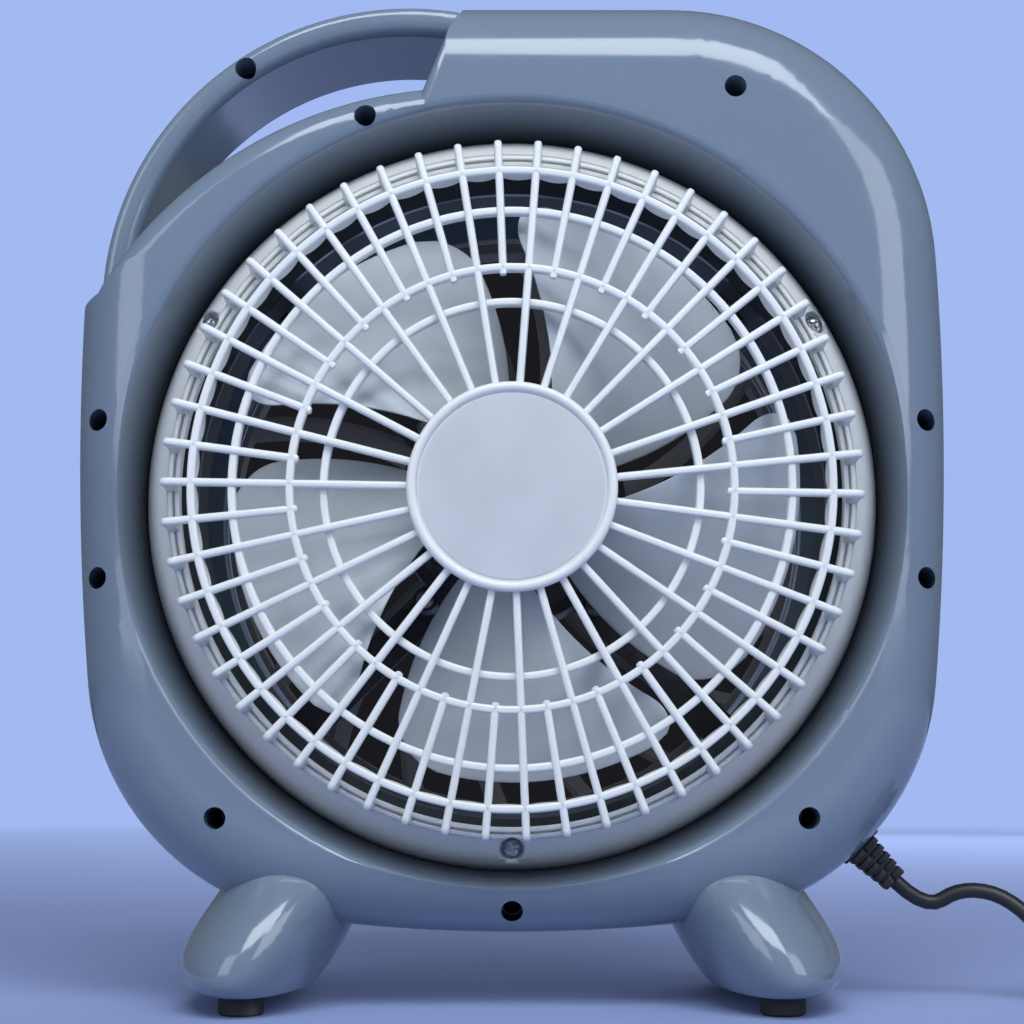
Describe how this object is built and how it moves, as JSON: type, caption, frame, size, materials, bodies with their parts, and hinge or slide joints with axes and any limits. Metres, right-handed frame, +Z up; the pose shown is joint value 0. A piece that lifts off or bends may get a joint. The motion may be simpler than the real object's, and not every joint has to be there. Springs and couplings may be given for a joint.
{
  "type": "box fan",
  "caption": "Table box fan with a rounded case, carrying handle and splayed feet, a domed intake guard at the rear, a turning louvre, knobs at the front and a coiled mains lead",
  "frame": {"origin": "on the floor, under the middle of the fan as it stands on its four pads", "axes": "+X right as seen from the rear, -Y towards the rear with the intake guard, +Y towards the front with the louvre and knobs, +Z up"},
  "size_m": [0.4334, 0.1593, 0.3608],
  "materials": {
    "case": "gloss",
    "guard": "gloss",
    "blade": "satin",
    "dark_plastic": "matte",
    "knob": "gloss",
    "panel": "satin",
    "label": "satin",
    "zinc": "satin",
    "dark_steel": "satin",
    "steel": "satin",
    "core": "satin",
    "winding": "matte",
    "bush": "satin",
    "rubber": "matte",
    "cord": "satin",
    "pins": "gloss"
  },
  "bodies": {
    "case": {"rear_shell": "case", "intake_funnel": "case", "intake_duct": "case", "front_shell": "case", "outlet_collar": "case", "handle_rear": "case", "handle_front": "case", "foot_left": "case", "foot_right": "case", "control_panel": "panel", "guard_grille": "guard", "guard_rim": "guard", "label_disc": "label", "guard_screws": "zinc", "case_screws": "dark_steel", "handle_screw": "dark_steel", "foot_screws": "dark_steel", "foot_pads": "rubber", "pad_screws": "zinc", "motor_cover_rear": "dark_steel", "motor_cover_front": "dark_steel", "stator_core": "core", "stator_windings": "winding", "bush_rear": "bush", "bush_front": "bush", "motor_bracket": "dark_steel", "motor_bolts": "zinc", "bracket_screws": "zinc", "louvre_motor": "dark_steel", "louvre_motor_screws": "zinc", "speed_switch": "dark_plastic", "timer": "dark_plastic", "panel_nuts": "zinc", "button_switch": "dark_plastic", "capacitor": "dark_plastic", "strain_relief": "cord", "mains_cord": "cord", "cord_coil": "cord", "cord_tail": "cord", "plug_body": "cord", "plug_pins": "pins"},
    "rotor": {"fan_blade": "blade", "blade_nut": "guard", "motor_shaft": "steel", "rotor_core": "steel"},
    "louvre": {"louvre_shaft": "steel", "louvre_frame": "guard", "louvre_fins": "guard", "louvre_cap": "panel", "louvre_screw": "zinc"},
    "speed_control": {"speed_knob": "knob", "speed_spindle": "steel"},
    "timer_control": {"timer_knob": "knob", "timer_spindle": "steel"},
    "button": {"louvre_button": "knob"}
  },
  "joints": [
    {"name": "fan_spin", "type": "hinge", "parent": "case", "child": "rotor", "pos_m": [0, 0, 0.179], "axis": [0, 1, 0], "continuous": true},
    {"name": "louvre_spin", "type": "hinge", "parent": "case", "child": "louvre", "pos_m": [0, 0.05, 0.179], "axis": [0, 1, 0], "continuous": true},
    {"name": "speed_turn", "type": "hinge", "parent": "case", "child": "speed_control", "pos_m": [0.10776, 0.05, 0.27602], "axis": [0, -1, 0], "range_deg": [0, 135]},
    {"name": "timer_turn", "type": "hinge", "parent": "case", "child": "timer_control", "pos_m": [0.07359, 0.05, 0.30394], "axis": [0, -1, 0], "range_deg": [0, 300]},
    {"name": "button_press", "type": "slide", "parent": "case", "child": "button", "axis": [0, -1, 0], "range_m": [0, 0.003], "stiffness_N_per_m": 600}
  ]
}
